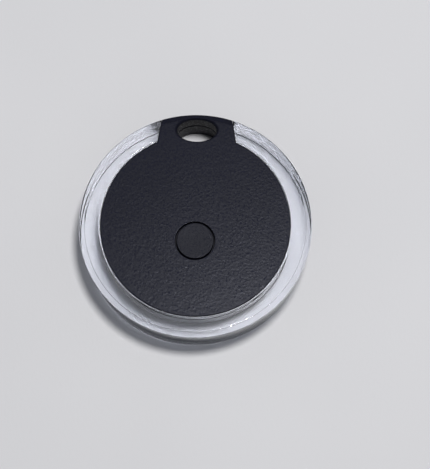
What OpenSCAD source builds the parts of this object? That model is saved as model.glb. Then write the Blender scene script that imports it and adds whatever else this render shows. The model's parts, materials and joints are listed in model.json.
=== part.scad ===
// Bluetooth tracker tag: black two-shell body with a key-ring lug, inside a clear light ring.
// Millimetres. The origin is the centre of the back face, +Z leaves the front face,
// and +Y points to the key-ring lug.

/* [Tag] */
// Outer diameter over the clear ring
tag_d = 41.7; // [41.6:0.1:42.4]
// Thickness from the back face to the front face
tag_t = 8; // [7.9:0.1:8.6]
// Diameter of the black body inside the clear ring
body_d = 34; // [34:0.1:34.4]
// Thickness of the shells' outer wall
wall_t = 1.2; // [1.1:0.1:1.2]
// Thickness of the front plate
front_t = 1; // [0.8:0.1:1]
// Width of the sloping band round the front of ring and lug
band_w = 1; // [0.9:0.1:1.2]
// Depth of the band's outer edge under the front face
band_drop = 0.26; // [0.2:0.02:0.4]
// How far the side of ring and lug leans in towards the back
side_lean = 0.55; // [0.3:0.05:0.6]
// Size of the small chamfer round the back face
back_chamfer = 0.12; // [0.08:0.02:0.2]
// Radius of the ring's rounded front edge next to the black body
inner_edge_r = 0.35; // [0.2:0.05:0.5]
// Height at which the front and back shells meet
split_z = 4.3; // [4:0.1:4.3]

/* [Key-ring lug] */
// Width of the lug where it leaves the body
lug_w = 14.2; // [13.6:0.1:14.8]
// Angle by which each side of the lug narrows outwards, in degrees
lug_taper = 9.6; // [5:0.2:10]
// Width of the oval key-ring hole
hole_w = 7.2; // [6.8:0.1:7.6]
// Height of the oval key-ring hole, along the tag's radius
hole_h = 4.2; // [4.1:0.1:4.3]
// Distance from the tag's centre to the middle of the key-ring hole
hole_y = 17.88; // [17.86:0.02:17.9]

/* [Button] */
// Diameter of the button's face
button_d = 6.6; // [6:0.1:6.8]
// Gap all round the button's face
button_gap = 0.25; // [0.2:0.05:0.3]
// Distance of the button below the tag's centre
button_drop = 3.08; // [3:0.02:3.3]
// Travel of the button
button_travel = 0.2; // [0.1:0.05:0.2]

/* [Battery] */
// Diameter of the coin cell
cell_d = 20; // [20:0.1:20.2]
// Thickness of the coin cell
cell_t = 3.2; // [3:0.1:3.2]
// Diameter of the battery door
door_d = 23; // [22.8:0.1:23]
// Thickness of the battery door
door_t = 1.1; // [1.1:0.05:1.2]
// Angle that the door turns to open, in degrees
door_turn = 30; // [28:1:32]

/* [Circuit board] */
// Diameter of the circuit board
board_d = 30; // [29.6:0.1:30]
// Thickness of the circuit board
board_t = 0.6; // [0.5:0.1:0.6]

/* [Hidden] */

// Smoothness: every round is a true circle when it has more than twelve sides
$fn = 96;
// Points round the oval key-ring hole
oval_points = 72;

// Clearances
fit = 0.05;         // between pieces that are held together
slip = 0.02;        // between pieces that touch and slide
eps = 0.5;          // overshoot of a cutter past a face

// Radii of the body
tag_r = tag_d / 2;
body_r = body_d / 2;
inner_r = body_r - wall_t;
front_in_z = tag_t - front_t;

// The ring's tongue is clamped just above the line where the shells meet
tongue_t = 0.8;
tongue_top_z = split_z + tongue_t;
floor_t = 1.4;
body_edge = 0.15;

// Fine step between the flat front and the sloping band
band_step = 0.1;
band_step_w = 0.06;

// Key-ring hole
hole_a = hole_w / 2;
hole_b = hole_h / 2;
boss_t = 1;
boss_inset = 0.3;   // the boss stays this far inside the body's side
lug_margin = 1;     // the lug's outline runs this far past the rim before it is trimmed
lug_root_y = sqrt(pow(body_r, 2) - pow(lug_w / 2, 2));

// Snap hooks of the front shell, and the groove they catch in
hook_angles = [58, 122, 240, 300];
hook_sweep = 14;
hook_r0 = inner_r - 0.6;
hook_bead = 0.15;
hook_bead_t = 0.5;
hook_z = 2.9;

// Battery door, from the back face upwards
door_r = door_d / 2;
door_z = 0.1;
door_top_z = door_z + door_t;
door_gap = 0.1;
lip_t = 0.6;
tab_count = 3;
tab_sweep = 20;
tab_l = 0.9;
tab_slack = 2;      // degrees of play at each end of a tab's pocket
slot_l = 12;
slot_w = 1.8;
slot_d = 0.5;
mark_r = 0.45;
mark_d = 0.2;
mark_inset = 1.5;   // from the door's edge to each mark
tab_root = 1;       // how far each tab reaches into the door

// O-ring that lies in a groove of the door
seal_w = 0.5;
seal_r = door_r - 0.7;
seal_groove = 0.6;

// Foam pad between the door and the cell
pad_r = 8;
pad_t = 0.35;

// Coin cell and its tray
cell_r = cell_d / 2;
cell_z = door_top_z + pad_t + fit;
cell_top_z = cell_z + cell_t;
can_t = 0.25;
can_drop = 0.2;     // the can's rim lies this much under the cap's face
lip_w = 0.9;
cap_r = cell_r - 1.3;
cap_skirt_z = cell_z + 1;
tray_gap = 0.15;
tray_r0 = cell_r + tray_gap;
tray_r1 = tray_r0 + 0.85;
tray_flange_r = door_r + 0.8;
tray_flange_t = 0.6;
window_w = 5.2;

// Circuit board
board_r = board_d / 2;
contact_h = 0.35;
board_z = cell_top_z + contact_h;
board_top_z = board_z + board_t;
metal_t = 0.1;

// Board screws and the posts that they are driven into
post_angles = [20, 160, 270];
post_at_r = 13.7;
post_r = 1.1;
screw_r = 0.5;
screw_l = 3;
head_r = 1;
head_t = 0.55;
thread_start = 0.3; // height of the shank's top inside the head
recess_l = 1.2;
recess_w = 0.24;
recess_d = 0.3;
board_hole_r = screw_r + 0.1;

// Button, from the front plate downwards
button_r = button_d / 2;
button_y = -button_drop;
rim_w = 0.9;
button_seal_t = 0.18;
flange_t = 0.2;
flange_top_z = front_in_z - slip - button_seal_t;
flange_z = flange_top_z - flange_t;
post_tip_r = 0.9;
cap_skin_t = 0.8;
cap_wall_t = 0.8;

// Tact switch that stands on the board under the button
switch_w = 3.4;
switch_l = 3.2;
switch_h = 0.45;
switch_floor_t = 0.08;
switch_bore_r = 1.4;
frame_t = 0.08;
clip_w = 1.6;
clip_l = 0.3;
plunger_r = 0.7;
collar_r = 1.2;
collar_t = 0.1;
collar_gap = 0.01;  // between the pressed collar and the floor
collar_z = board_top_z + 2 * slip + switch_floor_t + button_travel + collar_gap;
plunger_drop = 0.04; // from the flange's underside down to the plunger's top
plunger_top_z = flange_z - plunger_drop;
dome_r = 1.3;
dome_h = 0.2;
dome_t = 0.06;
dome_top_r = 0.4;
dome_foot = 0.15;

// Piezo sounder under the front plate
piezo_y = 7.6;
piezo_r = 5.8;
piezo_ceramic_r = 4.2;
piezo_t = 0.15;
glue_t = 0.1;
plate_z = front_in_z - glue_t - piezo_t;
ceramic_z = plate_z - piezo_t;
glue_w = 1;
plate_spring_x = piezo_ceramic_r + 0.8;

// Light-emitting diodes under the board's edge
led_angles = [40, 140, 215, 325];
led_w = 1.2;
led_l = 0.9;
led_h = 0.65;

// Parts on the board: places are [x, y], sizes are [length, width, height]
chip_at = [-8.2, -5.2];
chip_size = [5, 5, 0.85];
main_crystal_at = [-7.4, -9.8];
main_crystal_size = [2, 1.6, 0.5];
clock_crystal_at = [-12.6, -2.6];
clock_crystal_size = [3.2, 1.5, 0.75];
clock_crystal_turn = 80;
antenna_turn = -42;
antenna_at_r = 13.4;
antenna_size = [5, 1.6, 0.9];
inductor_at = [7.4, -5.4];
inductor_size = [2.5, 2, 0.9];
capacitor_size = [1, 0.5, 0.5];
resistor_size = [1, 0.5, 0.35];
pitch = 1.3;        // between neighbours in a row of small parts
row_gap = 1.1;      // from a large part's edge to the middle of the row beside it
resistor_x = 9.2;
resistor_y = 2;

// ---- Shared shapes ----

// Solid ring sector between two radii, from one angle to another
module ring_sector(r0, r1, z0, z1, from, sweep) {
  rotate([0, 0, from])
    rotate_extrude(angle = sweep)
      translate([r0, z0])
        square([r1 - r0, z1 - z0]);
}

// Full ring between two radii
module ring(r0, r1, z0, z1) {
  difference() {
    translate([0, 0, z0])
      cylinder(r = r1, h = z1 - z0);
    translate([0, 0, z0 - eps])
      cylinder(r = r0, h = z1 - z0 + 2 * eps);
  }
}

// Cross-section of the tag's rim from radius r0 outwards: chamfered back, leaning side and sloping band
module rim_profile(r0) {
  back_r = tag_r - side_lean;
  band_r = tag_r - band_w;
  polygon([
    [r0, 0], [back_r - back_chamfer, 0], [back_r, back_chamfer],
    [tag_r, tag_t - band_drop], [band_r, tag_t - band_step],
    [band_r - band_step_w, tag_t], [r0, tag_t]
  ]);
}

// Cross-section of the clear ring, whose inner front edge is rounded too
module ring_profile(r0) {
  difference() {
    rim_profile(r0);
    translate([r0 + inner_edge_r, tag_t - inner_edge_r])
      difference() {
        translate([-inner_edge_r - eps, 0])
          square([inner_edge_r + eps, inner_edge_r + eps]);
        circle(r = inner_edge_r);
      }
  }
}

// Prism over the lug's outline, widened by a clearance on both sides
module lug_prism(z0, z1, clearance) {
  y0 = inner_r - 3 * lug_margin;
  y1 = tag_r + lug_margin;
  narrowing = tan(lug_taper);
  w0 = lug_w / 2 + (lug_root_y - y0) * narrowing + clearance;
  w1 = lug_w / 2 + (lug_root_y - y1) * narrowing + clearance;
  translate([0, 0, z0])
    linear_extrude(z1 - z0)
      polygon([[-w0, y0], [w0, y0], [w1, y1], [-w1, y1]]);
}

// Part of the lug between two heights
module lug_block(z0, z1) {
  intersection() {
    rotate_extrude()
      rim_profile(inner_r);
    lug_prism(z0, z1, 0);
  }
}

// Oval prism round the key-ring hole's axis, larger than the hole by a margin
module oval(z0, z1, margin) {
  translate([0, hole_y, z0])
    linear_extrude(z1 - z0)
      polygon([
        for (i = [0 : oval_points - 1])
          let (a = 360 * i / oval_points)
            [(hole_a + margin) * cos(a), (hole_b + margin) * sin(a)]
      ]);
}

// Wall round the key-ring hole where it enters the body
module hole_boss(z0, z1) {
  intersection() {
    oval(z0, z1, boss_t);
    translate([0, 0, z0])
      cylinder(r = body_r - boss_inset, h = z1 - z0);
  }
}

// Children copied to each angle of a list
module at_angles(angles) {
  for (a = angles)
    rotate([0, 0, a])
      children();
}

// Small rectangular chip part that stands on the board
module chip_part(at, size, turn) {
  translate([at[0], at[1], board_top_z + slip])
    rotate([0, 0, turn])
      translate([-size[0] / 2, -size[1] / 2, 0])
        cube(size);
}

// ---- Shells and ring ----

module front_cover() {
  color([0.16, 0.165, 0.19])
    difference() {
      union() {
        rotate_extrude()
          polygon([
            [0, front_in_z], [inner_r, front_in_z], [inner_r, tongue_top_z],
            [body_r, tongue_top_z], [body_r, tag_t - body_edge],
            [body_r - body_edge, tag_t], [0, tag_t]
          ]);
        lug_block(split_z + slip, tag_t);
        hole_boss(split_z + slip, front_in_z + fit);
        at_angles(hook_angles)
          snap_hook();
      }
      oval(-eps, tag_t + eps, 0);
      translate([0, button_y, front_in_z - eps])
        cylinder(r = button_r + button_gap, h = front_t + 2 * eps);
    }
}

// Hook that reaches down inside the back shell's wall and catches in its groove
module snap_hook() {
  ring_sector(hook_r0, inner_r - fit, hook_z, front_in_z + fit, -hook_sweep / 2, hook_sweep);
  ring_sector(
    inner_r - 2 * fit, inner_r + hook_bead, hook_z, hook_z + hook_bead_t,
    -hook_sweep / 2, hook_sweep
  );
}

module back_cover() {
  color([0.16, 0.165, 0.19])
    difference() {
      union() {
        difference() {
          cylinder(r = body_r, h = split_z);
          translate([0, 0, floor_t])
            cylinder(r = inner_r, h = split_z);
        }
        lug_block(0, split_z);
        hole_boss(floor_t - fit, split_z);
        at_angles(post_angles)
          translate([post_at_r, 0, floor_t - fit])
            cylinder(r = post_r, h = board_z - floor_t);
      }
      oval(-eps, tag_t, 0);
      translate([0, 0, -eps])
        cylinder(r = door_r + door_gap, h = floor_t + 2 * eps);
      for (i = [0 : tab_count - 1])
        rotate([0, 0, i * 360 / tab_count])
          door_pocket();
      at_angles(hook_angles)
        ring_sector(
          inner_r - eps, inner_r + hook_bead + fit, hook_z - fit,
          hook_z + hook_bead_t + fit, -hook_sweep / 2 - 1, hook_sweep + 2
        );
      at_angles(post_angles)
        translate([post_at_r, 0, board_z - screw_l])
          cylinder(r = screw_r + slip, h = screw_l + eps);
      for (turn = [0, -door_turn])
        rotate([0, 0, turn])
          translate([0, -door_r - mark_inset, -eps])
            cylinder(r = mark_r, h = mark_d + eps);
    }
}

// Room for one bayonet tab: a pocket above the lip, and the notch that lets the tab in
module door_pocket() {
  half = tab_sweep / 2 + tab_slack / 2;
  outer = door_r + tab_l + door_gap;
  ring_sector(door_r, outer, lip_t, floor_t + eps, -door_turn - half, door_turn + 2 * half);
  ring_sector(door_r, outer, -eps, lip_t + fit, -door_turn - half, 2 * half);
}

module light_ring() {
  color([0.93, 0.95, 0.97, 0.35])
    difference() {
      union() {
        rotate_extrude()
          ring_profile(body_r + fit);
        ring(inner_r + fit, body_r + 2 * fit, split_z + slip, tongue_top_z - slip);
      }
      lug_prism(-eps, tag_t + eps, fit);
    }
}

// ---- Button ----

module button_cap() {
  color([0.19, 0.195, 0.22])
    translate([0, button_y, 0])
      union() {
        rotate_extrude()
          polygon([
            [button_r - cap_wall_t, flange_z], [button_r + rim_w, flange_z],
            [button_r + rim_w, flange_top_z], [button_r, flange_top_z],
            [button_r, tag_t - body_edge], [button_r - body_edge, tag_t],
            [0, tag_t], [0, tag_t - cap_skin_t], [button_r - cap_wall_t, tag_t - cap_skin_t]
          ]);
        translate([0, 0, plunger_top_z + slip])
          cylinder(r = post_tip_r, h = tag_t - cap_skin_t / 2 - plunger_top_z);
      }
}

module button_seal() {
  color([0.08, 0.08, 0.09])
    translate([0, button_y, 0])
      ring(button_r + fit, button_r + rim_w, flange_top_z, flange_top_z + button_seal_t);
}

// ---- Battery door ----

module battery_door() {
  color([0.15, 0.155, 0.18])
    difference() {
      union() {
        translate([0, 0, door_z])
          cylinder(r = door_r, h = door_t);
        for (i = [0 : tab_count - 1])
          ring_sector(
            door_r - tab_root, door_r + tab_l, lip_t + door_gap, door_top_z,
            i * 360 / tab_count - tab_sweep / 2, tab_sweep
          );
      }
      ring(
        seal_r - seal_groove / 2, seal_r + seal_groove / 2,
        floor_t - seal_w - fit, door_top_z + eps
      );
      coin_slot();
      translate([0, mark_inset - door_r, door_z - eps])
        cylinder(r = mark_r, h = mark_d + eps);
    }
}

// Slot for a coin, with round ends
module coin_slot() {
  straight = slot_l - slot_w;
  translate([0, 0, door_z - eps])
    union() {
      translate([-straight / 2, -slot_w / 2, 0])
        cube([straight, slot_w, slot_d + eps]);
      for (side = [-1, 1])
        translate([side * straight / 2, 0, 0])
          cylinder(r = slot_w / 2, h = slot_d + eps);
    }
}

module door_seal() {
  color([0.55, 0.2, 0.12])
    translate([0, 0, floor_t - seal_w / 2 - slip])
      rotate_extrude()
        translate([seal_r, 0])
          circle(r = seal_w / 2);
}

module door_pad() {
  color([0.35, 0.35, 0.37])
    translate([0, 0, door_top_z])
      cylinder(r = pad_r, h = pad_t);
}

// ---- Coin cell ----

module cell_can() {
  rim_z = cell_top_z - can_drop;
  color([0.78, 0.78, 0.8])
    rotate_extrude()
      polygon([
        [0, cell_z], [cell_r, cell_z], [cell_r, rim_z], [cell_r - lip_w, rim_z],
        [cell_r - lip_w, rim_z - can_t / 2], [cell_r - can_t, rim_z - can_t / 2],
        [cell_r - can_t, cell_z + can_t], [0, cell_z + can_t]
      ]);
}

module cell_cap() {
  color([0.8, 0.8, 0.82])
    difference() {
      translate([0, 0, cap_skirt_z])
        cylinder(r = cap_r, h = cell_top_z - cap_skirt_z);
      translate([0, 0, cell_z])
        cylinder(r = cap_r - can_t, h = cell_t - can_t);
    }
}

module cell_gasket() {
  color([0.2, 0.35, 0.55])
    ring(
      cap_r + slip, cell_r - can_t - slip,
      cell_z + can_t + slip, cell_top_z - can_drop - can_t / 2 - slip
    );
}

module cell_core() {
  color([0.2, 0.2, 0.2])
    translate([0, 0, cell_z + can_t + slip])
      cylinder(r = cap_r - can_t - slip, h = cell_t - 2 * can_t - 2 * slip);
}

module cell_tray() {
  color([0.88, 0.88, 0.86])
    difference() {
      union() {
        ring(tray_r0, tray_r1, floor_t, board_z - fit);
        ring(tray_r0, tray_flange_r, floor_t, floor_t + tray_flange_t);
      }
      translate([cell_r, -window_w / 2, floor_t + tray_flange_t + fit])
        cube([tray_flange_r - cell_r, window_w, board_z]);
    }
}

// ---- Cell contacts ----

// Bent strip whose spring tongue leans on the can's side and whose foot is soldered to the board
module positive_contact() {
  x = tray_r1 - 0.4;
  foot_l = 1.8;
  bend_z = floor_t + tray_flange_t + 0.5;
  tip_z = bend_z + 1.2;
  strip_w = 3.6;
  color([0.85, 0.7, 0.35])
    translate([0, strip_w / 2, 0])
      rotate([90, 0, 0])
        linear_extrude(strip_w)
          polygon([
            [x + foot_l, board_z - slip], [x, board_z - slip], [x, bend_z + metal_t],
            [cell_r + slip + metal_t, tip_z], [cell_r + slip, tip_z],
            [x - metal_t / 2, bend_z], [x + metal_t, bend_z],
            [x + metal_t, board_z - slip - metal_t], [x + foot_l, board_z - slip - metal_t]
          ]);
}

// Disc under the board with three sprung fingers that lean on the cell's cap
module negative_contact() {
  disc_r = 3;
  reach = 7.4;
  pad_l = 0.5;
  root = disc_r - 0.6;
  finger_w = 1.4;
  top = board_z - slip;
  low = cell_top_z + slip;
  color([0.85, 0.7, 0.35])
    union() {
      translate([0, 0, top - metal_t])
        cylinder(r = disc_r, h = metal_t);
      for (a = [30, 150, 270])
        rotate([0, 0, a])
          translate([0, finger_w / 2, 0])
            rotate([90, 0, 0])
              linear_extrude(finger_w)
                polygon([
                  [root, top], [disc_r, top], [reach - pad_l, low + metal_t],
                  [reach, low + metal_t], [reach, low], [reach - pad_l, low],
                  [disc_r, top - metal_t], [root, top - metal_t]
                ]);
    }
}

// ---- Circuit board and its parts ----

module circuit_board() {
  color([0.05, 0.32, 0.2])
    difference() {
      translate([0, 0, board_z])
        cylinder(r = board_r, h = board_t);
      oval(board_z - eps, board_top_z + eps, boss_t + 4 * fit);
      at_angles(post_angles)
        translate([post_at_r, 0, board_z - eps])
          cylinder(r = board_hole_r, h = board_t + 2 * eps);
    }
}

module radio_chip() {
  color([0.1, 0.1, 0.11])
    chip_part(chip_at, chip_size, 0);
}

module main_crystal() {
  color([0.75, 0.75, 0.76])
    chip_part(main_crystal_at, main_crystal_size, 0);
}

module clock_crystal() {
  color([0.75, 0.75, 0.76])
    chip_part(clock_crystal_at, clock_crystal_size, clock_crystal_turn);
}

module chip_antenna() {
  color([0.92, 0.92, 0.9])
    chip_part(
      antenna_at_r * [cos(antenna_turn), sin(antenna_turn)],
      antenna_size, antenna_turn + 90
    );
}

module inductor() {
  color([0.3, 0.3, 0.32])
    chip_part(inductor_at, inductor_size, 0);
}

// Row of four capacitors along X or Y, centred on a point
module capacitor_row(middle, along) {
  for (i = [0 : 3])
    chip_part(middle + (i - 1.5) * pitch * along, capacitor_size, along[0] == 1 ? 90 : 0);
}

// Decoupling capacitors: a row behind the radio chip, one beside it and one beside the inductor
module capacitors() {
  color([0.72, 0.58, 0.42])
    union() {
      capacitor_row(chip_at + [0, chip_size[1] / 2 + row_gap], [1, 0]);
      capacitor_row(chip_at + [chip_size[0] / 2 + row_gap, 0], [0, 1]);
      capacitor_row(inductor_at + [inductor_size[0] / 2 + row_gap, 0], [0, 1]);
    }
}

// Resistors: a short row on each side of the sounder
module resistors() {
  color([0.12, 0.12, 0.13])
    for (side = [-1, 1])
      for (i = [0 : 2])
        chip_part([side * resistor_x, resistor_y + i * pitch], resistor_size, 0);
}

// ---- Tact switch ----

module switch_housing() {
  color([0.1, 0.1, 0.1])
    translate([0, button_y, board_top_z + slip])
      difference() {
        translate([-switch_w / 2, -switch_l / 2, 0])
          cube([switch_w, switch_l, switch_h]);
        translate([0, 0, switch_floor_t])
          cylinder(r = switch_bore_r, h = switch_h);
      }
}

module switch_frame() {
  color([0.8, 0.8, 0.82])
    translate([0, button_y, board_top_z + 2 * slip + switch_h])
      difference() {
        union() {
          translate([-switch_w / 2 - frame_t - slip, -switch_l / 2, 0])
            cube([switch_w + 2 * frame_t + 2 * slip, switch_l, frame_t]);
          for (side = [-1, 1])
            translate([side * (switch_w / 2 + frame_t / 2 + slip) - frame_t / 2, -clip_w / 2, -clip_l])
              cube([frame_t, clip_w, clip_l + frame_t]);
        }
        translate([0, 0, -eps])
          cylinder(r = plunger_r + 2 * fit, h = 2 * eps);
      }
}

module switch_plunger() {
  color([0.75, 0.3, 0.1])
    translate([0, button_y, 0])
      union() {
        translate([0, 0, collar_z])
          cylinder(r = collar_r, h = collar_t);
        translate([0, 0, collar_z])
          cylinder(r = plunger_r, h = plunger_top_z - collar_z);
      }
}

// Sprung metal dome: a shallow cone that the plunger pushes flat
module switch_dome() {
  z = board_top_z + slip + switch_floor_t + slip;
  color([0.85, 0.85, 0.85])
    translate([0, button_y, z])
      rotate_extrude()
        polygon([
          [0, dome_h], [dome_top_r, dome_h], [dome_r, dome_t], [dome_r, 0],
          [dome_r - dome_foot, 0], [dome_top_r, dome_h - dome_t], [0, dome_h - dome_t]
        ]);
}

// ---- Sounder ----

module piezo_plate() {
  color([0.8, 0.62, 0.25])
    translate([0, piezo_y, plate_z])
      cylinder(r = piezo_r, h = piezo_t);
}

module piezo_ceramic() {
  color([0.85, 0.83, 0.75])
    translate([0, piezo_y, ceramic_z])
      cylinder(r = piezo_ceramic_r, h = piezo_t);
}

module piezo_adhesive() {
  color([0.9, 0.9, 0.85])
    translate([0, piezo_y, 0])
      ring(piezo_r - glue_w, piezo_r, plate_z + piezo_t, front_in_z);
}

// Two bent springs on the board: one leans on the ceramic and one on the plate
module piezo_springs() {
  color([0.85, 0.7, 0.35])
    union() {
      piezo_spring(0, ceramic_z);
      piezo_spring(plate_spring_x, plate_z);
    }
}

// Z-bent strip: a foot on the board, a slanted web and a pad under the sounder
module piezo_spring(x, top) {
  spring_w = 0.8;
  foot_l = 1.2;
  web_l = 1.2;
  z0 = board_top_z + slip;
  z1 = top - slip;
  translate([x - spring_w / 2, piezo_y, 0])
    rotate([90, 0, 90])
      linear_extrude(spring_w)
        polygon([
          [-web_l - foot_l, z0], [-web_l, z0], [0, z1 - metal_t], [foot_l, z1 - metal_t],
          [foot_l, z1], [0, z1], [-web_l, z0 + metal_t], [-web_l - foot_l, z0 + metal_t]
        ]);
}

// ---- Lamps and fasteners ----

module ring_leds() {
  color([0.95, 0.93, 0.8])
    at_angles(led_angles)
      translate([board_r - led_l, -led_w / 2, board_z - slip - led_h])
        cube([led_l, led_w, led_h]);
}

module board_screws() {
  color([0.65, 0.65, 0.68])
    at_angles(post_angles)
      translate([post_at_r, 0, board_top_z + slip])
        board_screw();
}

// Pan-head screw with a cross recess, standing head up with its head's underside at zero
module board_screw() {
  difference() {
    union() {
      cylinder(r = head_r, h = head_t);
      translate([0, 0, thread_start - screw_l])
        cylinder(r = screw_r, h = screw_l);
    }
    for (turn = [0, 90])
      rotate([0, 0, turn])
        translate([-recess_l / 2, -recess_w / 2, head_t - recess_d])
          cube([recess_l, recess_w, recess_d + eps]);
  }
}

front_cover();
back_cover();
light_ring();
button_cap();
button_seal();
battery_door();
door_seal();
door_pad();
cell_can();
cell_cap();
cell_gasket();
cell_core();
cell_tray();
positive_contact();
negative_contact();
circuit_board();
radio_chip();
main_crystal();
clock_crystal();
chip_antenna();
inductor();
capacitors();
resistors();
switch_housing();
switch_frame();
switch_plunger();
switch_dome();
piezo_plate();
piezo_ceramic();
piezo_adhesive();
piezo_springs();
ring_leds();
board_screws();
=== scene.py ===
"""Looks of a bluetooth tracker tag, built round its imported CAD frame.

Metres, +Z out of the front face, +Y towards the key-ring lug. The origin is the middle of the back face.
The visible shells, button, clear ring and battery door are finer meshes that stand for their CAD nodes.
The pieces inside keep their CAD meshes and get finished materials.
"""
import json
import math

import bmesh
import bpy
from mathutils import Matrix, Vector


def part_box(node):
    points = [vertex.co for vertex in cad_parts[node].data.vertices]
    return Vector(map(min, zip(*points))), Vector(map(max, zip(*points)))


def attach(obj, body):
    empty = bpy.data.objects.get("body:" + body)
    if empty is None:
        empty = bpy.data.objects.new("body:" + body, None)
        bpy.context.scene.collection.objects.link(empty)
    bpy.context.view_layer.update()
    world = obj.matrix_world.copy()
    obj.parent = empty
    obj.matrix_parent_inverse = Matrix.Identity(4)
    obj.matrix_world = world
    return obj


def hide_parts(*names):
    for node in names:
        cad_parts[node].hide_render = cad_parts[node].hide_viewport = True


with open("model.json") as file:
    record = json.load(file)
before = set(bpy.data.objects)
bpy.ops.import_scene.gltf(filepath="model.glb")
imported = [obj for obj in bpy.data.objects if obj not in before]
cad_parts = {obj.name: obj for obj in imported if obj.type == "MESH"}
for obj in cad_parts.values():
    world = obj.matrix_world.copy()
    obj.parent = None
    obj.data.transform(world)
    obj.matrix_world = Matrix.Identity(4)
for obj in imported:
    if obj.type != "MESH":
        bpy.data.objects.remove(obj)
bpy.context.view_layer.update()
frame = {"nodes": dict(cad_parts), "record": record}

MM = 0.001

# ---- Sizes, from the frame where it holds them ----

ring_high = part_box("light_ring")[1]
cap_low, cap_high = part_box("button_cap")
door_low, door_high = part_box("battery_door")

TAG_R = ring_high.x
TAG_T = ring_high.z
BODY_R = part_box("back_cover")[1].x
FRONT_IN_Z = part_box("piezo_adhesive")[1].z     # underside of the front plate
FLOOR_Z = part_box("cell_tray")[0].z             # upper side of the back plate
SEAL_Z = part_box("button_seal")[0].z
PLUNGER_TOP_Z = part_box("switch_plunger")[1].z
BUTTON_AT = Vector(((cap_low.x + cap_high.x) / 2, (cap_low.y + cap_high.y) / 2, 0))
DOOR_TOP_Z = door_high.z
DOOR_Z = door_low.z

WALL = 1.2 * MM
INNER_R = BODY_R - WALL
SPLIT_Z = 4.3 * MM
TONGUE_T = 0.8 * MM
FIT = 0.05 * MM            # clearance between two pieces, and how far joined solids overlap
SLIP = 0.02 * MM           # gap that keeps two faces from lying in one plane
PAST = 1.0 * MM            # a cutter reaches this far past the solid that it cuts
OVERCUT = 0.1 * MM         # an opening's wall runs this far into the room behind it

SIDE_LEAN = 0.55 * MM      # the side of ring and lug leans in towards the back by this much
BACK_CHAMFER = 0.12 * MM
BAND_W = 1.0 * MM          # sloping band round the front of ring and lug
BAND_DROP = 0.26 * MM      # the band's outer edge lies this far under the front face
BAND_STEP = 0.1 * MM       # fine step down from the flat front to the band
BAND_STEP_W = 0.06 * MM
INNER_EDGE = 0.35 * MM     # rounded front edge of the ring beside the body
RING_FOOT = 0.12 * MM      # chamfer of the ring's back edge beside the body
BODY_EDGE = 0.15 * MM      # small rounding of the black shells' edges
SUPPORT = 0.05 * MM        # width of the flat strip that keeps a rounded edge's shading off a flat face

LUG_HALF = 7.1 * MM
LUG_TAPER = math.radians(9.6)
LUG_ROOT_Y = math.sqrt(BODY_R ** 2 - LUG_HALF ** 2)
HOLE_Y = 17.88 * MM
HOLE_A = 3.6 * MM          # half the key-ring hole's width and height
HOLE_B = 2.1 * MM
HOLE_RIM = 0.5 * MM        # rounding of the hole's front rim
HOLE_FLARE = 0.7           # slope of the hole's cutter above the rim
HOLE_STEP = 0.05 * MM      # under its rim the hole narrows by this much on each side
SEAM_CHAMFER = 0.22 * MM   # chamfer of both shells round the hole at the seam
SEAM_EDGE = 0.06 * MM      # chamfer of both shells round their outside at the seam
BOSS = 1.0 * MM            # wall round the hole inside the shells

BUTTON_R = 3.3 * MM
BUTTON_GAP = 0.25 * MM
BUTTON_EDGE = 0.12 * MM
BUTTON_WALL = 0.8 * MM
BUTTON_POST_R = 0.9 * MM
BUTTON_DISH = ((0, 0.02), (1.5, 0.018), (2.6, 0.005))   # radius and depth in millimetres
FLANGE_W = 0.9 * MM
FLANGE_T = 0.2 * MM
WELL_EDGE = 0.1 * MM       # rounding of the front plate round the button

DOOR_R = 11.5 * MM
DOOR_GAP = 0.1 * MM
DOOR_EDGE = 0.15 * MM
OPENING_EDGE = 0.12 * MM   # chamfer of the back shell round the door
OPENING_BREAK = 0.3        # share of that chamfer's width that its steeper part takes
GROOVE_IN = 0.7 * MM       # middle of the O-ring's groove, in from the door's edge
GROOVE_HALF = 0.3 * MM
GROOVE_DEPTH = 0.55 * MM
TAB_L = 0.9 * MM
TAB_SWEEP = 20.0           # degrees, as are the slack and the turn
TAB_SLACK = 1.0            # on each side of a tab in its notch
TAB_ROOT = 0.2 * MM        # each tab starts this far inside the door's edge
TAB_ANGLES = (0, 120, 240)
DOOR_TURN = 30.0
LIP = 0.6 * MM             # thickness of the back shell's lip that holds the tabs
POCKET_H = 0.5 * MM        # room over the back plate's inner side for the turning tabs

COIN_HALF_W = 0.9 * MM
COIN_HALF_L = 5.1 * MM
COIN_CUTS = ((0.12 * MM, 0.06 * MM), (0.0, 0.5 * MM))   # widening and depth of the chamfer and the slot

MARK_R = 0.45 * MM
MARK_FLAT = 0.7            # share of the mark's radius that its bottom takes
MARK_SIDE = 0.15 * MM
MARK_DEPTH = 0.2 * MM
MARK_AWAY = 1.5 * MM       # from the door's edge to the middle of a mark

HOOK_ANGLES = (58, 122, 240, 300)
HOOK_SWEEP = 14.0          # degrees
HOOK_Z = 2.9 * MM          # height of a hook's tip
HOOK_T = 0.6 * MM
HOOK_BITE = 0.15 * MM      # the catch reaches this far into the back shell's wall
HOOK_CATCH = 0.5 * MM      # from the hook's tip up to the end of the catch
HOOK_NECK = 0.6 * MM       # from the hook's tip up to the straight arm
POST_ANGLES = (20, 160, 270)
POST_AT_R = 13.7 * MM
POST_R = 1.1 * MM

# ---- Mesh helpers ----


SHARP = math.radians(28)   # faces that meet at more than this make a sharp edge
MERGE = 1e-7               # points nearer than this are one point
WELD = 1e-6                # the same after a boolean


def finish_mesh(bm, name):
    """Object from bm, with outward normals, smooth shading and sharp edges."""
    bmesh.ops.remove_doubles(bm, verts=bm.verts, dist=MERGE)
    bmesh.ops.recalc_face_normals(bm, faces=bm.faces)
    mesh = bpy.data.meshes.new(name)
    bm.to_mesh(mesh)
    bm.free()
    piece = bpy.data.objects.new(name, mesh)
    bpy.context.scene.collection.objects.link(piece)
    shade(piece)
    return piece


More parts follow.
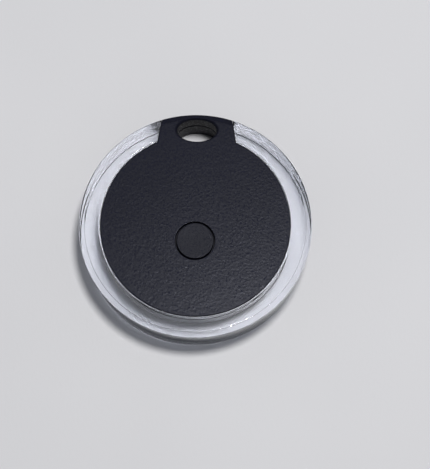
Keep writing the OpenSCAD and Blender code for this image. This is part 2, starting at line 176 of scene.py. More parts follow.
def shade(piece):
    """Smooth shading with sharp edges."""
    piece.data.polygons.foreach_set("use_smooth", [True] * len(piece.data.polygons))
    piece.data.set_sharp_from_angle(angle=SHARP)
    piece.data.update()


def oval(a, b, steps, x=0.0, y=0.0):
    """Points of an oval or circle round (x, y)."""
    turns = [2 * math.pi * i / steps for i in range(steps)]
    return [(x + a * math.cos(turn), y + b * math.sin(turn)) for turn in turns]


def add_loop(bm, outline, z):
    """Vertices over an outline's points, in order, at one height."""
    return [bm.verts.new((x, y, z)) for x, y in outline]


def bridge(bm, loops):
    """Quads between each closed loop and the next. All have the same number of vertices."""
    for a, b in zip(loops, loops[1:]):
        for i in range(len(a)):
            j = (i + 1) % len(a)
            bm.faces.new((a[i], a[j], b[j], b[i]))


def loop_edges(bm, loop):
    """Edges along a closed loop of vertices, made where they are missing."""
    edges = []
    for i, vert in enumerate(loop):
        after = loop[(i + 1) % len(loop)]
        edges.append(bm.edges.get((vert, after)) or bm.edges.new((vert, after)))
    return edges


def fill(bm, loops, up):
    """Flat face between an outer loop and any holes in it."""
    edges = [e for loop in loops for e in loop_edges(bm, loop)]
    bmesh.ops.triangle_fill(bm, edges=edges, use_beauty=True, normal=(0, 0, 1 if up else -1))


def arc(centre, radius, start, end, steps):
    """Points of a profile's arc, as (radius, height), from one angle to another in degrees."""
    points = []
    for i in range(steps + 1):
        a = math.radians(start + (end - start) * i / steps)
        points.append((centre[0] + radius * math.cos(a), centre[1] + radius * math.sin(a)))
    return points


def lathe(name, profile, steps, at=(0, 0, 0)):
    """Solid of revolution about an upright axis. The profile starts and ends on the axis."""
    bm = bmesh.new()
    loops = []
    for r, z in profile:
        if r < MERGE:
            loops.append([bm.verts.new((at[0], at[1], at[2] + z))])
        else:
            loops.append(add_loop(bm, oval(r, r, steps, at[0], at[1]), at[2] + z))
    for a, b in zip(loops, loops[1:]):
        if len(a) > 1 and len(b) > 1:
            bridge(bm, [a, b])
            continue
        hub, rim = (a[0], b) if len(a) == 1 else (b[0], a)
        for i in range(steps):
            bm.faces.new((hub, rim[i], rim[(i + 1) % steps]))
    return finish_mesh(bm, name)


def sweep(name, profile, start, end, steps):
    """Closed profile of (radius, height) points carried round Z.

    start and end give the first and the last angle at a radius, in radians.
    """
    bm = bmesh.new()
    rows = []
    for i in range(steps + 1):
        t = i / steps
        row = []
        for r, z in profile:
            a = start(r) * (1 - t) + end(r) * t
            row.append(bm.verts.new((r * math.cos(a), r * math.sin(a), z)))
        rows.append(row)
    bridge(bm, rows)
    bm.faces.new(rows[0])
    bm.faces.new(rows[-1])
    return finish_mesh(bm, name)


def arc_sweep(name, profile, middle, width, steps):
    """Closed profile carried round Z over an angle in degrees."""
    a0 = math.radians(middle - width / 2)
    a1 = math.radians(middle + width / 2)
    return sweep(name, profile, lambda r: a0, lambda r: a1, steps)


def sector(name, r0, r1, z0, z1, middle, width):
    """Block between two radii, two heights and two angles in degrees."""
    return arc_sweep(name, [(r0, z0), (r1, z0), (r1, z1), (r0, z1)], middle, width, steps=16)


def prism(name, outline, z0, z1):
    """Upright prism over an outline."""
    bm = bmesh.new()
    low = add_loop(bm, outline, z0)
    high = add_loop(bm, outline, z1)
    bridge(bm, [low, high])
    bm.faces.new(low)
    bm.faces.new(high)
    return finish_mesh(bm, name)


def weld(mesh):
    """Joins the near-duplicate points that a boolean can leave."""
    bm = bmesh.new()
    bm.from_mesh(mesh)
    bmesh.ops.remove_doubles(bm, verts=bm.verts, dist=WELD)
    bmesh.ops.dissolve_degenerate(bm, edges=bm.edges, dist=WELD)
    bm.to_mesh(mesh)
    bm.free()


def combine(piece, tools, operation):
    """Applies one exact boolean after another and deletes the tools."""
    for tool in tools:
        step = piece.modifiers.new("combine", "BOOLEAN")
        step.operation = operation
        step.solver = "EXACT"
        step.object = tool
        bpy.context.view_layer.update()
        graph = bpy.context.evaluated_depsgraph_get()
        mesh = bpy.data.meshes.new_from_object(piece.evaluated_get(graph))
        piece.modifiers.clear()
        weld(mesh)
        old = piece.data
        piece.data = mesh
        bpy.data.meshes.remove(old)
        bpy.data.objects.remove(tool, do_unlink=True)
    shade(piece)
    return piece


# ---- Outlines ----


def hole_outline(grow):
    """Oval of the key-ring hole, grown by a margin."""
    return oval(HOLE_A + grow, HOLE_B + grow, steps=96, y=HOLE_Y)


def lug_corner(radius, clearance):
    """Where the lug's right side, moved outwards by a clearance, crosses a circle round the tag's axis."""
    k = math.tan(LUG_TAPER)
    reach = LUG_HALF + LUG_ROOT_Y * k + clearance / math.cos(LUG_TAPER)
    root = math.sqrt(max(0.0, reach * reach * k * k - (1 + k * k) * (reach * reach - radius * radius)))
    y = (reach * k + root) / (1 + k * k)
    return Vector((reach - k * y, y))


LUG_STEPS = 28
SIDE_STEPS = 8
BODY_STEPS = 220


def body_outline(body_inset, lug_inset):
    """Outline of the black shells: the round body with the lug, drawn in by one inset each."""
    body_r = BODY_R - body_inset
    lug_r = TAG_R - lug_inset
    root = lug_corner(body_r, -body_inset)
    tip = lug_corner(lug_r, -body_inset)
    points = [root.lerp(tip, i / SIDE_STEPS) for i in range(SIDE_STEPS)]
    tip_angle = math.atan2(tip.y, tip.x)
    for i in range(LUG_STEPS):
        a = tip_angle + (math.pi - 2 * tip_angle) * i / LUG_STEPS
        points.append(Vector((lug_r * math.cos(a), lug_r * math.sin(a))))
    left_tip = Vector((-tip.x, tip.y))
    left_root = Vector((-root.x, root.y))
    points += [left_tip.lerp(left_root, i / SIDE_STEPS) for i in range(SIDE_STEPS)]
    root_angle = math.atan2(root.y, root.x)
    for i in range(BODY_STEPS):
        a = math.pi - root_angle + (math.pi + 2 * root_angle) * i / BODY_STEPS
        points.append(Vector((body_r * math.cos(a), body_r * math.sin(a))))
    return points


def inset_at(depth, radius):
    """How far a rounded edge of that radius has drawn in at a depth under its face."""
    if depth >= radius:
        return 0.0
    return radius - math.sqrt(max(0.0, radius ** 2 - (radius - depth) ** 2))


def rounded(corners, steps):
    """Profile through corners given as (radius, height, fillet), with each corner turned into an arc."""
    points = []
    for i, (x, y, fillet) in enumerate(corners):
        if fillet == 0:
            points.append((x, y))
            continue
        here = Vector((x, y))
        before = (Vector(corners[i - 1][:2]) - here).normalized()
        after = (Vector(corners[i + 1][:2]) - here).normalized()
        half = before.angle(after) / 2
        centre = here + (before + after).normalized() * (fillet / math.sin(half))
        start = (here + before * (fillet / math.tan(half)) - centre).normalized()
        end = (here + after * (fillet / math.tan(half)) - centre).normalized()
        for j in range(steps + 1):
            points.append(tuple(centre + start.slerp(end, j / steps).normalized() * fillet))
    return points


def rim_profile():
    """Outer profile of ring and lug, from the back face's edge up to the front face's edge."""
    back_r = TAG_R - SIDE_LEAN
    step_r = TAG_R - BAND_W
    fine = 0.03 * MM
    return rounded([
        (back_r - PAST, 0, 0),
        (back_r - BACK_CHAMFER, 0, fine),
        (back_r, BACK_CHAMFER, fine),
        (TAG_R, TAG_T - BAND_DROP, 5 * fine),
        (step_r, TAG_T - BAND_STEP, fine),
        (step_r - BAND_STEP_W, TAG_T, fine),
        (step_r - PAST, TAG_T, 0),
    ], steps=5)[1:-1]


LEVEL = 1e-9               # points nearer in height than this are level


def rim_radius(z):
    """Radius of the outer profile at a height."""
    points = rim_profile()
    for (r0, z0), (r1, z1) in zip(points, points[1:]):
        if z0 <= z <= z1 and z1 - z0 > LEVEL:
            return r0 + (r1 - r0) * (z - z0) / (z1 - z0)
    return points[0][0] if z <= WELD else points[-1][0]


# ---- Black shells ----


EDGE_STEPS = 6
LEVEL_GAP = 0.02 * MM      # no level of a shell's side lies nearer to the seam's chamfer than this


def shell_walls(bm, face_z, up, seam_z):
    """Side loops of a shell from the seam to its face, with a flat strip inside the face's edge."""
    side = 1 if up else -1
    start_z = seam_z + side * SEAM_EDGE
    heights = {round(z, 9) for r, z in rim_profile() if (z - start_z) * side > LEVEL_GAP}
    for i in range(EDGE_STEPS + 1):
        drop = BODY_EDGE * (1 - math.cos(math.radians(90 * i / EDGE_STEPS)))
        heights.add(round(face_z - side * drop, 9))
    loops = [(body_outline(SEAM_EDGE, TAG_R - rim_radius(seam_z) + SEAM_EDGE), seam_z)]
    for z in [start_z] + sorted(heights, reverse=not up):
        loops.append((body_outline(inset_at(abs(face_z - z), BODY_EDGE), TAG_R - rim_radius(z)), z))
    loops.append((body_outline(BODY_EDGE + SUPPORT, TAG_R - rim_radius(face_z) + SUPPORT / 2), face_z))
    rows = [add_loop(bm, loop, z) for loop, z in loops]
    bridge(bm, rows)
    return rows[0], rows[-1]


def hole_walls(bm, levels):
    """Walls of the key-ring hole. Each level gives how much the oval grows, and its height."""
    rows = [add_loop(bm, hole_outline(grow), z) for grow, z in levels]
    bridge(bm, rows)
    return rows[0], rows[-1]


def front_hole_tool(seam_z):
    """Cutter for the front shell's hole: chamfer at the seam, wall, small step and rounded rim."""
    wall_top = TAG_T - HOLE_RIM
    levels = [(2 * SEAM_CHAMFER, seam_z - SEAM_CHAMFER), (0, seam_z + SEAM_CHAMFER)]
    levels.append((0, wall_top - HOLE_STEP))
    levels += arc((HOLE_STEP + HOLE_RIM, wall_top), HOLE_RIM, 180, 135, 3)
    levels.append((levels[-1][0] + HOLE_RIM, levels[-1][1] + HOLE_FLARE * HOLE_RIM))
    bm = bmesh.new()
    low, high = hole_walls(bm, levels)
    bm.faces.new(low)
    bm.faces.new(high)
    return finish_mesh(bm, "hole")


def cavity_tool(z0, z1, posts):
    """Room inside a shell, clear of the wall round the key-ring hole and of the screw posts."""
    tool = lathe("cavity", [(0, z0), (INNER_R, z0), (INNER_R, z1), (0, z1)], steps=162)
    low = z0 - PAST
    high = z1 + PAST
    keep = [prism("boss", hole_outline(BOSS), low, high)]
    if posts:
        for angle in POST_ANGLES:
            a = math.radians(angle)
            at = (POST_AT_R * math.cos(a), POST_AT_R * math.sin(a), 0)
            profile = [(0, low), (POST_R, low), (POST_R, high), (0, high)]
            keep.append(lathe("post", profile, steps=32, at=at))
    return combine(tool, keep, "DIFFERENCE")


def lug_angle(radius, clearance):
    """Angle of the lug's right side at a radius."""
    corner = lug_corner(radius, clearance)
    return math.atan2(corner.y, corner.x)


def open_ring(name, profile, clearance, steps):
    """Profile carried round the tag from the lug's left side to its right side."""
    return sweep(
        name, profile,
        lambda r: math.pi - lug_angle(r, clearance),
        lambda r: 2 * math.pi + lug_angle(r, clearance),
        steps,
    )


def tongue_slot():
    """Room for the clear ring's tongue in the front shell's wall."""
    beyond = 0.5 * MM
    z0 = SPLIT_Z - 0.2 * MM
    z1 = SPLIT_Z + TONGUE_T
    r0 = INNER_R - beyond
    r1 = BODY_R + beyond
    return open_ring("slot", [(r0, z0), (r1, z0), (r1, z1), (r0, z1)], 0.0, steps=240)


def hook_profile():
    """Section of a snap hook: its tip, the catch and the arm up to the front plate."""
    inside = INNER_R - HOOK_T
    catch = INNER_R + HOOK_BITE
    arm = INNER_R - FIT
    top = FRONT_IN_Z + FIT
    return [
        (inside, HOOK_Z), (catch, HOOK_Z + HOOK_BITE), (catch, HOOK_Z + HOOK_CATCH),
        (arm, HOOK_Z + HOOK_NECK), (arm, top), (inside, top),
    ]


def round_opening(bm, profile, steps, at):
    """Wall of a round opening through (radius, height) points, closed at its far end.

    Returns the loop at its mouth.
    """
    rows = [add_loop(bm, oval(r, r, steps, at.x, at.y), z) for r, z in profile]
    bridge(bm, rows)
    bm.faces.new(rows[-1])
    return rows[0]


def build_front_cover():
    """Front shell with its half of the lug, the button's opening, the tongue's slot and the snap hooks."""
    seam_z = SPLIT_Z + SLIP
    bm = bmesh.new()
    outer_low, outer_top = shell_walls(bm, TAG_T, True, seam_z)
    well_r = BUTTON_R + BUTTON_GAP
    profile = [(well_r + WELL_EDGE + SUPPORT, TAG_T)]
    profile += arc((well_r + WELL_EDGE, TAG_T - WELL_EDGE), WELL_EDGE, 90, 180, 4)
    profile.append((well_r, FRONT_IN_Z - OVERCUT))
    well = round_opening(bm, profile, steps=96, at=BUTTON_AT)
    fill(bm, [outer_top, well], True)
    fill(bm, [outer_low], False)
    cover = finish_mesh(bm, "front_cover_shell")
    tools = [cavity_tool(SPLIT_Z - PAST, FRONT_IN_Z, False), tongue_slot(), front_hole_tool(seam_z)]
    combine(cover, tools, "DIFFERENCE")
    hooks = [arc_sweep("hook", hook_profile(), angle, HOOK_SWEEP, steps=10) for angle in HOOK_ANGLES]
    return combine(cover, hooks, "UNION")


def build_back_cover():
    """Back shell with its half of the lug, the door's opening and the pockets for the door's tabs."""
    bm = bmesh.new()
    outer_low, outer_face = shell_walls(bm, 0.0, False, SPLIT_Z)
    opening_r = DOOR_R + DOOR_GAP
    turn_in = OPENING_EDGE * OPENING_BREAK
    opening = round_opening(bm, [
        (opening_r + OPENING_EDGE + SUPPORT, 0), (opening_r + OPENING_EDGE, 0),
        (opening_r + turn_in, turn_in), (opening_r, OPENING_EDGE), (opening_r, FLOOR_Z + OVERCUT),
    ], steps=160, at=Vector((0, 0, 0)))
    levels = [(0, 0), (0, SPLIT_Z - SEAM_CHAMFER), (SEAM_CHAMFER, SPLIT_Z)]
    hole_face, hole_seam = hole_walls(bm, levels)
    fill(bm, [outer_face, hole_face, opening], False)
    fill(bm, [outer_low, hole_seam], True)
    cover = finish_mesh(bm, "back_cover_shell")
    tools = [cavity_tool(FLOOR_Z, SPLIT_Z + PAST, True)]
    outer = DOOR_R + TAB_L + DOOR_GAP
    notch = TAB_SWEEP + 2 * TAB_SLACK
    for angle in TAB_ANGLES:
        middle = angle - DOOR_TURN / 2
        tools.append(sector("pocket", DOOR_R, outer, LIP, FLOOR_Z + POCKET_H, middle, DOOR_TURN + notch))
        tools.append(sector("notch", DOOR_R, outer + SLIP, -PAST, LIP + FIT, angle - DOOR_TURN, notch))
    for turn in (0, -DOOR_TURN):
        tools.append(mark_tool(turn, -DOOR_R - MARK_AWAY, 0.0))
    return combine(cover, tools, "DIFFERENCE")


def mark_tool(turn, y, face_z):
    """Shallow round dimple that shows how far the door is turned."""
    a = math.radians(turn)
    at = (-y * math.sin(a), y * math.cos(a), face_z)
    profile = [
        (0, -PAST), (MARK_R, -PAST), (MARK_R, 0), (MARK_R * MARK_FLAT, MARK_SIDE), (0, MARK_DEPTH),
    ]
    return lathe("mark", profile, steps=40, at=at)


# ---- Button, door and clear ring ----


def build_button():
    """Cap with a rounded rim, a flange under the front plate and a post for the switch."""
    flange_z = SEAL_Z - FLANGE_T
    inner_r = BUTTON_R - BUTTON_WALL
    skin_z = TAG_T - BUTTON_WALL
    post_z = PLUNGER_TOP_Z + SLIP
    profile = [(r * MM, TAG_T - depth * MM) for r, depth in BUTTON_DISH]
    profile.append((BUTTON_R - BUTTON_EDGE - SUPPORT, TAG_T))
    profile += arc((BUTTON_R - BUTTON_EDGE, TAG_T - BUTTON_EDGE), BUTTON_EDGE, 90, 0, 6)
    profile += [
        (BUTTON_R, SEAL_Z), (BUTTON_R + FLANGE_W, SEAL_Z), (BUTTON_R + FLANGE_W, flange_z),
        (inner_r, flange_z), (inner_r, skin_z),
        (BUTTON_POST_R, skin_z), (BUTTON_POST_R, post_z), (0, post_z),
    ]
    return lathe("button_cap_face", profile, steps=128, at=BUTTON_AT)


def build_door():
    """Round door with a rolled edge, bayonet tabs, a groove for its O-ring and a coin slot."""
    groove_z = FLOOR_Z - GROOVE_DEPTH
    groove_out = DOOR_R - GROOVE_IN + GROOVE_HALF
    groove_in = DOOR_R - GROOVE_IN - GROOVE_HALF
    profile = [(0, DOOR_Z), (DOOR_R - DOOR_EDGE - SUPPORT, DOOR_Z)]
    profile += arc((DOOR_R - DOOR_EDGE, DOOR_Z + DOOR_EDGE), DOOR_EDGE, -90, 0, 6)
    profile += [
        (DOOR_R, DOOR_TOP_Z), (groove_out, DOOR_TOP_Z), (groove_out, groove_z),
        (groove_in, groove_z), (groove_in, DOOR_TOP_Z), (0, DOOR_TOP_Z),
    ]
    door = lathe("battery_door_disc", profile, steps=160)
    tabs = [
        sector("tab", DOOR_R - TAB_ROOT, DOOR_R + TAB_L, LIP + DOOR_GAP, DOOR_TOP_Z, angle, TAB_SWEEP)
        for angle in TAB_ANGLES
    ]
    combine(door, tabs, "UNION")
    tools = []
    for grow, depth in COIN_CUTS:
        end = arc((COIN_HALF_L, 0), COIN_HALF_W + grow, -90, 90, 16)
        outline = [(side * x, side * y) for side in (1, -1) for x, y in end]
        tools.append(prism("coin_slot", outline, DOOR_Z - PAST, DOOR_Z + depth))
    tools.append(mark_tool(0, MARK_AWAY - DOOR_R, DOOR_Z))
    return combine(door, tools, "DIFFERENCE")


def build_light_ring():
    """Clear ring, open at the lug: flat front with a fine step and a band, and a tongue for the shells."""
    inner = BODY_R + FIT
    tongue_r = INNER_R + FIT
    tongue_top = SPLIT_Z + TONGUE_T - SLIP
    tongue_z = SPLIT_Z + SLIP
    rim = rim_profile()
    profile = [(inner + RING_FOOT, 0.0), (inner + RING_FOOT + SUPPORT, 0.0), (rim[0][0] - SUPPORT, 0.0)]
    profile += rim
    profile += [(rim[-1][0] - SUPPORT, TAG_T), (inner + INNER_EDGE + SUPPORT, TAG_T)]
    profile += arc((inner + INNER_EDGE, TAG_T - INNER_EDGE), INNER_EDGE, 90, 180, 8)
    profile += [(inner, TAG_T - INNER_EDGE - SUPPORT), (inner, tongue_top), (tongue_r, tongue_top)]
    profile += [(tongue_r, tongue_z), (inner, tongue_z), (inner, RING_FOOT + SUPPORT), (inner, RING_FOOT)]
    return open_ring("light_ring_clear", profile, FIT, steps=360)


# ---- Materials ----


class Nodes:
    """Short ways to add and join the nodes of one material."""

    def __init__(self, name):
        self.material = bpy.data.materials.new(name)
        self.material.use_nodes = True
        self.tree = self.material.node_tree
        self.tree.nodes.clear()
        self.output = self.add("ShaderNodeOutputMaterial")
        self.coordinates = self.add("ShaderNodeTexCoord").outputs["Object"]

    def add(self, kind, **values):
        """Node with its sockets or, failing that, its properties set by name."""
        node = self.tree.nodes.new(kind)
        for key, value in values.items():
            if key in node.inputs.keys():
                node.inputs[key].default_value = value
            else:
                setattr(node, key, value)
        return node

    def join(self, source, target):
        """Link from an output socket to an input socket."""
        self.tree.links.new(source, target)

    def noise(self, size, detail=3.0, roughness=0.55, stretch=(1, 1, 1), turn=0.0):
        """Noise whose features are about size metres across."""
        mapping = self.add("ShaderNodeMapping")
        mapping.inputs["Scale"].default_value = [s / size for s in stretch]
        mapping.inputs["Rotation"].default_value = (0, 0, math.radians(turn))
        self.join(self.coordinates, mapping.inputs["Vector"])
        node = self.add("ShaderNodeTexNoise", Scale=1.0, Detail=detail, Roughness=roughness)
        self.join(mapping.outputs["Vector"], node.inputs["Vector"])
        return node.outputs["Fac"]

    def cells(self, size):
        """Distance from the middles of Voronoi cells about size metres across."""
        node = self.add("ShaderNodeTexVoronoi", Scale=1.0 / size)
        self.join(self.coordinates, node.inputs["Vector"])
        return node.outputs["Distance"]

    def remap(self, value, low, high, to_low, to_high):
        """Value stretched so that low to high becomes to_low to to_high, and held there."""
        node = self.add("ShaderNodeMapRange")
        for key, number in (("From Min", low), ("From Max", high), ("To Min", to_low), ("To Max", to_high)):
            node.inputs[key].default_value = number
        self.join(value, node.inputs["Value"])
        return node.outputs["Result"]

    def math(self, operation, a, b=0.0):
        """One arithmetic step on numbers or sockets."""
        node = self.add("ShaderNodeMath", operation=operation)
        for socket, value in zip(node.inputs, (a, b)):
            if isinstance(value, (int, float)):
                socket.default_value = value
            else:
                self.join(value, socket)
        return node.outputs[0]

    def mix(self, factor, a, b):
        """Blend from colour a to colour b."""
        node = self.add("ShaderNodeMix", data_type="RGBA")
        self.join(factor, node.inputs["Factor"])
        for socket, value in ((node.inputs[6], a), (node.inputs[7], b)):
            if isinstance(value, tuple):
                socket.default_value = (*value, 1.0)
            else:
                self.join(value, socket)
        return node.outputs[2]

    def bump(self, height, distance):
        """Normal of a surface whose relief is distance metres deep."""
        node = self.add("ShaderNodeBump", Strength=1.0, Distance=distance)
        self.join(height, node.inputs["Height"])
        return node.outputs["Normal"]

    def level(self):
        """1 where the surface faces straight up or down, and 0 where it stands upright."""
        axes = self.add("ShaderNodeSeparateXYZ")
        self.join(self.add("ShaderNodeNewGeometry").outputs["Normal"], axes.inputs[0])
        return self.math("ABSOLUTE", axes.outputs["Z"])

    def shader(self, colour, roughness, normal, **fixed):
        """Principled shader, joined to the output. Each input is a constant or a socket."""
        node = self.add("ShaderNodeBsdfPrincipled")
        for key, value in fixed.items():
            node.inputs[key.replace("_", " ")].default_value = value
        for key, value in (("Base Color", colour), ("Roughness", roughness), ("Normal", normal)):
            if isinstance(value, tuple):
                node.inputs[key].default_value = (*value, 1.0)
            elif isinstance(value, (int, float)):
                node.inputs[key].default_value = value
            else:
                self.join(value, node.inputs[key])
        self.join(node.outputs["BSDF"], self.output.inputs["Surface"])
        return node


def scaled(colour, share):
    """Colour scaled by a share, which may be more than one."""
    return tuple(c * share for c in colour)


BLACK_SPECULAR = 0.16
FACET_SIZE = 0.9           # size of the glossy facets, whose glints are painted as bright specks, in grains
FACET_GLOSS = 0.22         # the facets are this much less rough than the plastic between them
SIDE_ROUGHNESS = 0.25      # the black shells' sides and hole walls are this much rougher than their faces


def textured_plastic(name, colour, grain, roughness, depth):
    """Moulded plastic with a fine spark-eroded grain and small glossy facets, whose glints are painted into
    the colour as bright specks.
    """
    n = Nodes(name)
    fine = n.noise(grain, detail=4.0, roughness=0.65)
    cells = n.cells(grain * 1.6)
    broad = n.noise(9 * MM, detail=2.0)
    tone = n.math("ADD", n.remap(fine, 0.35, 0.65, 0.0, 0.7), n.remap(broad, 0.3, 0.7, 0.0, 0.3))
    base = n.mix(tone, scaled(colour, 0.82), scaled(colour, 1.18))
    facets = n.noise(grain * FACET_SIZE, detail=1.0, roughness=0.4)
    facets_and_painted_glints = n.remap(facets, 0.56, 0.66, 0.0, 1.0)
    # Painted glints: the facets' reflections are painted into the base colour as bright specks; the same
    # mask also makes the facets less rough.
    colour_with_painted_glints = n.mix(n.math("MULTIPLY", facets_and_painted_glints, 0.5), base, scaled(colour, 2.4))
    matt = n.remap(fine, 0.3, 0.7, roughness + 0.08, roughness - 0.04)
    grainy = n.math("SUBTRACT", matt, n.math("MULTIPLY", facets_and_painted_glints, FACET_GLOSS))
    upright = n.remap(n.level(), 0.3, 0.9, SIDE_ROUGHNESS, 0.0)
    rough = n.math("ADD", grainy, upright)
    height = n.math("ADD", fine, n.math("MULTIPLY", cells, 0.6))
    n.shader(colour_with_painted_glints, rough, n.bump(height, depth), Specular_IOR_Level=BLACK_SPECULAR)
    return n.material


GLASS_TINT = (0.985, 0.99, 0.995)
FLAT_LETS_THROUGH = (0.7, 0.7, 0.7)
SIDE_LETS_THROUGH = (0.06, 0.066, 0.08)


def clear_plastic(name):
    """Polished clear acrylic. Light for shadows passes its flat faces and mostly stops at steep sides."""
    n = Nodes(name)
    haze = n.noise(0.8 * MM, detail=3.0)
    rough = n.remap(haze, 0.4, 0.8, 0.0, 0.035)
    swell = n.noise(3 * MM, detail=1.0)
    relief = n.bump(swell, 0.004 * MM)
    glass = n.shader(GLASS_TINT, rough, relief, Transmission_Weight=1.0, IOR=1.49)
    flat = n.remap(n.level(), 0.5, 0.95, 0.0, 1.0)
    clear = n.add("ShaderNodeBsdfTransparent")
    n.join(n.mix(flat, SIDE_LETS_THROUGH, FLAT_LETS_THROUGH), clear.inputs["Color"])
    path = n.add("ShaderNodeLightPath")
    mix = n.add("ShaderNodeMixShader")
    n.join(path.outputs["Is Shadow Ray"], mix.inputs["Fac"])
    n.join(glass.outputs["BSDF"], mix.inputs[1])
    n.join(clear.outputs["BSDF"], mix.inputs[2])
    n.join(mix.outputs["Shader"], n.output.inputs["Surface"])
    return n.material


def plain_plastic(name, colour, roughness, depth=0.003 * MM):
    """Smooth moulded plastic or resin with a slight orange peel and uneven tone."""
    n = Nodes(name)
    fine = n.noise(0.15 * MM)
    tone = n.noise(4 * MM)
    base = n.mix(n.remap(tone, 0.3, 0.7, 0.0, 1.0), scaled(colour, 0.86), scaled(colour, 1.1))
    rough = n.remap(fine, 0.3, 0.7, roughness - 0.06, roughness + 0.08)
    n.shader(base, rough, n.bump(fine, depth))
    return n.material


def metal(name, colour, roughness):
    """Rolled or plated metal with fine drawing marks and a slight stain."""
    n = Nodes(name)
    lines = n.noise(0.05 * MM, stretch=(1, 0.05, 1))
    stain = n.noise(3 * MM)
    base = n.mix(n.remap(stain, 0.35, 0.7, 0.0, 1.0), colour, scaled(colour, 0.8))
    rough = n.remap(lines, 0.3, 0.7, roughness - 0.1, roughness + 0.12)
    n.shader(base, rough, n.bump(lines, 0.002 * MM), Metallic=1.0)
    return n.material


def rubber(name, colour):
    """Matt rubber with a dusty bloom."""
    n = Nodes(name)
    fine = n.noise(0.08 * MM, detail=4.0)
    bloom = n.noise(2 * MM)
    base = n.mix(n.remap(bloom, 0.4, 0.75, 0.0, 0.5), colour, scaled(colour, 1.6))
    n.shader(base, n.remap(fine, 0.3, 0.7, 0.6, 0.8), n.bump(fine, 0.006 * MM), Sheen_Weight=0.1)
    return n.material


def foam(name, colour):
    """Open-cell foam: round pits all over, with painted shade darkening their hollows."""
    n = Nodes(name)
    pits = n.cells(0.22 * MM)
    # Painted shade: the colour darkens towards the middle of each pit, where the bump sinks deepest.
    base = n.mix(n.remap(pits, 0.1, 0.6, 0.0, 1.0), scaled(colour, 0.4), scaled(colour, 1.3))
    n.shader(base, 0.95, n.bump(pits, 0.08 * MM), Sheen_Weight=0.2)
    return n.material


def solder_mask(name, colour):
    """Green solder mask over raised copper tracks, with a weave showing faintly through."""
    n = Nodes(name)
    tracks = n.add("ShaderNodeTexBrick", Scale=1.0 / (2.4 * MM), offset=0.5)
    tracks.inputs["Mortar Size"].default_value = 0.06
    n.join(n.coordinates, tracks.inputs["Vector"])
    weave = n.noise(0.3 * MM, stretch=(1, 0.3, 1))
    base = n.mix(tracks.outputs["Fac"], colour, scaled(colour, 1.9))
    shaded = n.mix(n.remap(weave, 0.3, 0.7, 0.0, 0.35), base, scaled(colour, 0.6))
    rough = n.remap(weave, 0.3, 0.7, 0.22, 0.34)
    n.shader(shaded, rough, n.bump(tracks.outputs["Fac"], 0.02 * MM), Coat_Weight=0.3)
    return n.material


def paper(name):
    """Matt white card with a faint fibre texture."""
    n = Nodes(name)
    fibre = n.noise(0.6 * MM, detail=5.0, stretch=(1, 0.4, 1), turn=20)
    cloud = n.noise(60 * MM, detail=2.0)
    base = n.mix(n.remap(cloud, 0.3, 0.7, 0.0, 1.0), (0.683, 0.69, 0.713), (0.712, 0.719, 0.742))
    n.shader(base, 0.85, n.bump(fibre, 0.02 * MM), Specular_IOR_Level=0.2)
    return n.material


MATERIALS = {
    "black_shell": textured_plastic("black_shell", (0.0086, 0.0092, 0.0162), 0.34 * MM, 0.28, 0.016 * MM),
    "black_button": textured_plastic("black_button", (0.0068, 0.0072, 0.0118), 0.2 * MM, 0.31, 0.01 * MM),
    "clear_ring": clear_plastic("clear_ring"),
    "black_silicone": rubber("black_silicone", (0.008, 0.008, 0.009)),
    "red_rubber": rubber("red_rubber", (0.25, 0.04, 0.02)),
    "foam": foam("foam", (0.06, 0.06, 0.065)),
    "cell_steel": metal("cell_steel", (0.62, 0.62, 0.63), 0.28),
    "cell_nylon": plain_plastic("cell_nylon", (0.06, 0.12, 0.28), 0.4),
    "cell_fill": plain_plastic("cell_fill", (0.03, 0.03, 0.03), 0.8),
    "white_plastic": plain_plastic("white_plastic", (0.72, 0.72, 0.7), 0.45),
    "spring_gold": metal("spring_gold", (0.8, 0.58, 0.25), 0.25),
    "board_green": solder_mask("board_green", (0.012, 0.1, 0.05)),
    "chip_black": plain_plastic("chip_black", (0.022, 0.022, 0.024), 0.55, depth=0.01 * MM),
    "tin_can": metal("tin_can", (0.68, 0.68, 0.67), 0.3),
    "antenna_ceramic": plain_plastic("antenna_ceramic", (0.75, 0.75, 0.72), 0.5),
    "ferrite": plain_plastic("ferrite", (0.06, 0.06, 0.065), 0.6, depth=0.01 * MM),
    "capacitor_tan": plain_plastic("capacitor_tan", (0.4, 0.25, 0.14), 0.4),
    "resistor_black": plain_plastic("resistor_black", (0.03, 0.03, 0.035), 0.3),
    "switch_black": plain_plastic("switch_black", (0.025, 0.025, 0.025), 0.5),
    "spring_steel": metal("spring_steel", (0.6, 0.6, 0.61), 0.3),
    "plunger_orange": plain_plastic("plunger_orange", (0.5, 0.12, 0.03), 0.4),
    "piezo_brass": metal("piezo_brass", (0.75, 0.55, 0.22), 0.35),
    "piezo_silver": metal("piezo_silver", (0.72, 0.71, 0.66), 0.5),
    "glue": plain_plastic("glue", (0.7, 0.7, 0.64), 0.6),
    "led_body": plain_plastic("led_body", (0.8, 0.72, 0.35), 0.35),
    "screw_steel": metal("screw_steel", (0.45, 0.45, 0.46), 0.35),
}

# ---- Pieces ----


def place(piece, node, body):
    """Gives a fine piece its material and body, and lets it stand for its CAD node."""
    slot = SLOT_OF[node]
    piece.data.materials.clear()
    piece.data.materials.append(MATERIALS[slot])
    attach(piece, body)
    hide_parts(node)


SLOT_OF = {part["node"]: part["material_slot"] for part in frame["record"]["subparts"]}

FINE_PIECES = {
    "front_cover": (build_front_cover, "housing"),
    "back_cover": (build_back_cover, "housing"),
    "light_ring": (build_light_ring, "housing"),
    "button_cap": (build_button, "button"),
    "battery_door": (build_door, "door"),
}
for node, (build, body) in FINE_PIECES.items():
    place(build(), node, body)

for node, shape in frame["nodes"].items():
    if node in FINE_PIECES:
        continue
    shape.data.materials.clear()
    shape.data.materials.append(MATERIALS[SLOT_OF[node]])

# ---- Floor, light and camera ----

FLOOR_DROP = 0.02 * MM
FLOOR_HALF = 1.5           # half the floor's side

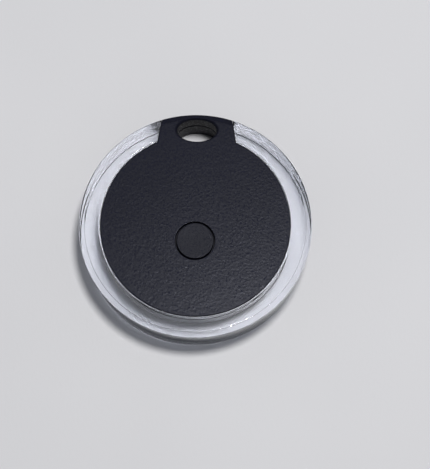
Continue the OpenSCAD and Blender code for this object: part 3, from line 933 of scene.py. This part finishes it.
floor_mesh = bmesh.new()
bmesh.ops.create_grid(floor_mesh, x_segments=8, y_segments=8, size=FLOOR_HALF)
floor_data = bpy.data.meshes.new("floor")
floor_mesh.to_mesh(floor_data)
floor_mesh.free()
floor = bpy.data.objects.new("floor", floor_data)
floor.location.z = -FLOOR_DROP
bpy.context.scene.collection.objects.link(floor)
floor.data.materials.append(paper("floor_paper"))


def area_light(name, at, size, power, colour):
    """Round soft light that points at the tag."""
    data = bpy.data.lights.new(name, "AREA")
    data.shape = "DISK"
    data.size = size
    data.energy = power
    data.color = colour
    light = bpy.data.objects.new(name, data)
    light.location = at
    light.rotation_euler = (-Vector(at)).to_track_quat("-Z", "Y").to_euler()
    bpy.context.scene.collection.objects.link(light)
    return light


key = area_light("key", at=(0.085, 0.062, 0.56), size=0.12, power=2.6, colour=(1.0, 0.985, 0.975))
key.visible_glossy = False
key.visible_transmission = False
sheen = area_light("sheen", at=(0.042, 0.056, 0.57), size=0.075, power=1.12, colour=(0.87, 0.89, 1.0))
sheen.visible_diffuse = False
sheen.visible_transmission = False

world = bpy.data.worlds.new("studio")
world.use_nodes = True
background = world.node_tree.nodes["Background"]
background.inputs["Color"].default_value = (0.93, 0.95, 1.0, 1.0)
background.inputs["Strength"].default_value = 0.17
bpy.context.scene.world = world
bpy.context.scene.view_settings.view_transform = "Standard"

CAMERA_AZIMUTH = math.radians(2.49)
CAMERA_ELEVATION = math.radians(73.19)
CAMERA_ROLL = math.radians(-1.82)
CAMERA_DISTANCE = 350 * MM
CAMERA_TARGET = Vector((3.549 * MM, -1.922 * MM, TAG_T))
CAMERA_LENS = 150.66

back = Vector((
    math.sin(CAMERA_AZIMUTH) * math.cos(CAMERA_ELEVATION),
    -math.cos(CAMERA_AZIMUTH) * math.cos(CAMERA_ELEVATION),
    math.sin(CAMERA_ELEVATION),
))
level = Vector((math.cos(CAMERA_AZIMUTH), math.sin(CAMERA_AZIMUTH), 0))
upright = back.cross(level)
right = math.cos(CAMERA_ROLL) * level + math.sin(CAMERA_ROLL) * upright
up = -math.sin(CAMERA_ROLL) * level + math.cos(CAMERA_ROLL) * upright

camera_data = bpy.data.cameras.new("camera")
camera_data.lens = CAMERA_LENS
camera_data.sensor_width = 36
camera_data.clip_start = 0.01
camera = bpy.data.objects.new("camera", camera_data)
facing = Matrix((right, up, back)).transposed().to_4x4()
camera.matrix_world = Matrix.Translation(CAMERA_TARGET + back * CAMERA_DISTANCE) @ facing
bpy.context.scene.collection.objects.link(camera)
bpy.context.scene.camera = camera
